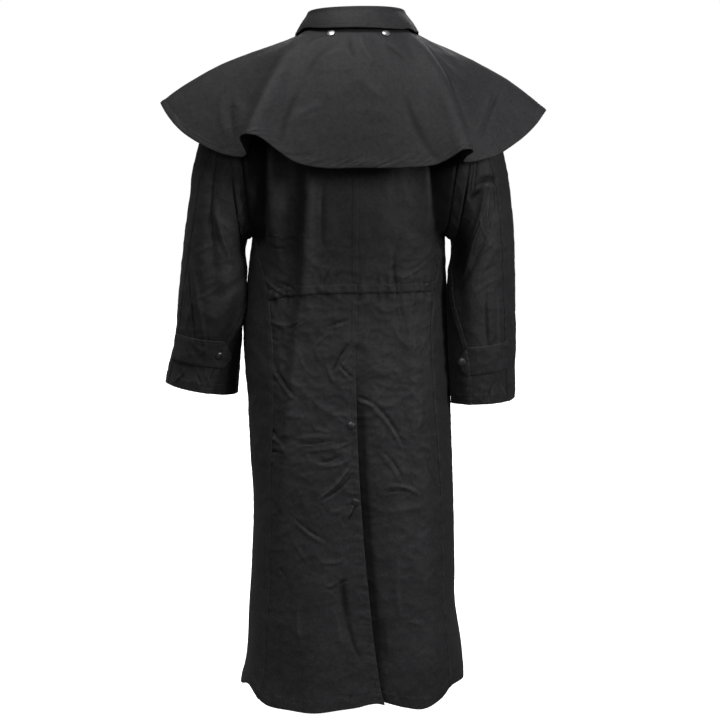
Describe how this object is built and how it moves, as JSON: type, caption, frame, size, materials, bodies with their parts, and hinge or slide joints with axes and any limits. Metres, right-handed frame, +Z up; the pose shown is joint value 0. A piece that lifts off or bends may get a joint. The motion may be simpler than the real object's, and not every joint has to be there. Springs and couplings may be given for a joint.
{
  "type": "duster coat",
  "caption": "Long waxed duster coat with a shoulder cape, fall collar, gathered waist channel, back vent and cuff straps, hollow as worn.",
  "frame": {"origin": "the middle of the neck opening at the nape's height, where the wearer's neck and shoulders hold the coat", "axes": "+Z up, -Y out of the coat's front, +X to the wearer's left"},
  "size_m": [0.7404, 0.4128, 1.312],
  "materials": {
    "cloth": "black waxed cotton, matt with a soft sheen on the folds",
    "snaps": "dark painted snap caps, half glossy"
  },
  "bodies": {
    "root": {"back_left": "cloth", "back_right": "cloth", "front_left": "cloth", "front_right": "cloth", "sleeve_left_top": "cloth", "sleeve_left_under": "cloth", "sleeve_right_top": "cloth", "sleeve_right_under": "cloth", "armhole_band_left": "cloth", "armhole_band_right": "cloth", "cuff_strap_left": "cloth", "cuff_strap_right": "cloth", "cape": "cloth", "collar_stand": "cloth", "collar_fall": "cloth", "waist_channel": "cloth", "cape_snap_left": "snaps", "cape_snap_right": "snaps", "cuff_snap_left": "snaps", "cuff_snap_right": "snaps", "vent_snap_upper": "snaps", "vent_snap_lower": "snaps", "front_snap_1": "snaps", "front_snap_2": "snaps", "front_snap_3": "snaps", "front_snap_4": "snaps", "front_snap_5": "snaps"}
  },
  "joints": []
}
